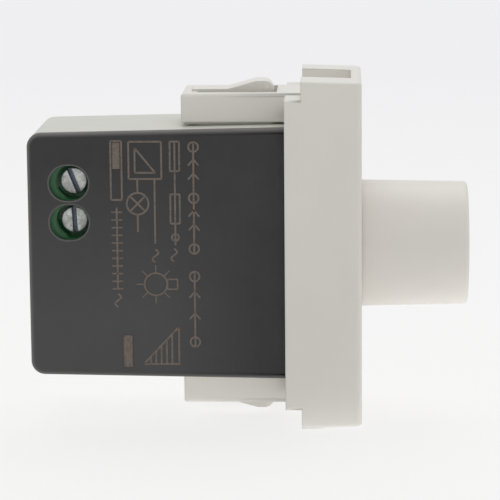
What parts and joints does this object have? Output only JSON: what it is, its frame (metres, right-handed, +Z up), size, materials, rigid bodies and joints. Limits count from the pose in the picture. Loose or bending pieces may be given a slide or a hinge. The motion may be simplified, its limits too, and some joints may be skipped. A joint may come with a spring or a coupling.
{
  "type": "led dimmer module",
  "caption": "Snap-in rotary dimmer module: narrow front frame with a round push-and-turn knob, snap arms, and a slim boxed electronics case with screw terminals behind.",
  "frame": {"origin": "centre of the frame's front face, on the knob's axis", "axes": "+X out of the wall along the knob, +Z up the long side of the frame, -Y towards the dark cover with the screw holes"},
  "size_m": [0.0569, 0.0226, 0.045],
  "materials": {
    "frame_plastic": "warm white, fine satin mould surface",
    "knob_plastic": "warm white, smooth satin",
    "case_plastic": "pale grey, matt",
    "cover_plastic": "dark grey, matt",
    "terminal_green": "green, slightly glossy",
    "screw_steel": "bright zinc plated",
    "cage_steel": "plated sheet",
    "tinned_brass": "tinned",
    "circuit_board": "green lacquer on glass fibre board",
    "cast_zinc": "zinc casting",
    "wafer_brown": "resin bonded paper",
    "rotor_plastic": "natural acetal",
    "spindle_alloy": "turned",
    "switch_black": "black phenolic",
    "spring_steel": "spring wire",
    "ferrite": "ferrite, dull",
    "copper_wire": "enamelled copper",
    "capacitor_yellow": "yellow box",
    "capacitor_sleeve": "black sleeve",
    "varistor_blue": "blue epoxy",
    "fuse_ceramic": "ceramic tube",
    "chip_black": "black epoxy",
    "plate_aluminium": "mill finish"
  },
  "bodies": {
    "housing": {"front_frame": "frame_plastic", "case_body": "case_plastic", "case_cover": "cover_plastic", "terminal_block": "terminal_green", "terminal_pins": "tinned_brass", "main_board": "circuit_board", "potentiometer_bush": "cast_zinc", "bush_washer": "cage_steel", "bush_nut": "tinned_brass", "potentiometer_can": "cage_steel", "resistive_track": "wafer_brown", "switch_case": "switch_black", "switch_terminals": "tinned_brass", "return_spring": "spring_steel", "choke_core": "ferrite", "choke_winding": "copper_wire", "film_capacitor": "capacitor_yellow", "smoothing_capacitor": "capacitor_sleeve", "varistor": "varistor_blue", "fuse": "fuse_ceramic", "control_chip": "chip_black", "heat_plate": "plate_aluminium", "transistor_1": "chip_black", "transistor_2": "chip_black"},
    "push_rod": {"switch_plunger": "rotor_plastic"},
    "knob_and_spindle": {"knob": "knob_plastic", "spindle": "spindle_alloy"},
    "wiper": {"wiper_rotor": "rotor_plastic"},
    "screw_1": {"terminal_screw_1": "screw_steel"},
    "screw_2": {"terminal_screw_2": "screw_steel"},
    "cage_1": {"terminal_cage_1": "cage_steel"},
    "cage_2": {"terminal_cage_2": "cage_steel"}
  },
  "joints": [
    {"name": "knob_push", "type": "slide", "parent": "housing", "child": "push_rod", "axis": [-1, 0, 0], "range_m": [0, 0.0016], "stiffness_N_per_m": 1200, "springref_m": -0.0012, "deforming": ["return_spring"]},
    {"name": "knob_turn", "type": "hinge", "parent": "push_rod", "child": "knob_and_spindle", "pos_m": [0, 0, 0], "axis": [1, 0, 0], "range_deg": [-150, 150]},
    {"name": "wiper_turn", "type": "hinge", "parent": "housing", "child": "wiper", "pos_m": [0, 0, 0], "axis": [1, 0, 0], "range_deg": [-150, 150]},
    {"name": "screw_1_turn", "type": "hinge", "parent": "housing", "child": "screw_1", "pos_m": [-0.0371, 0, 0.00934], "axis": [0, 1, 0], "range_deg": [0, 1442]},
    {"name": "cage_1_lift", "type": "slide", "parent": "housing", "child": "cage_1", "axis": [0, -1, 0], "range_m": [0, 0.0018]},
    {"name": "screw_2_turn", "type": "hinge", "parent": "housing", "child": "screw_2", "pos_m": [-0.0371, 0, 0.00426], "axis": [0, 1, 0], "range_deg": [0, 1442]},
    {"name": "cage_2_lift", "type": "slide", "parent": "housing", "child": "cage_2", "axis": [0, -1, 0], "range_m": [0, 0.0018]}
  ],
  "couplings": [
    {"joint": "wiper_turn", "follows": "knob_turn", "ratio": 1},
    {"joint": "screw_1_turn", "follows": "cage_1_lift", "rad_per_m": 13963},
    {"joint": "screw_2_turn", "follows": "cage_2_lift", "rad_per_m": 13963}
  ]
}
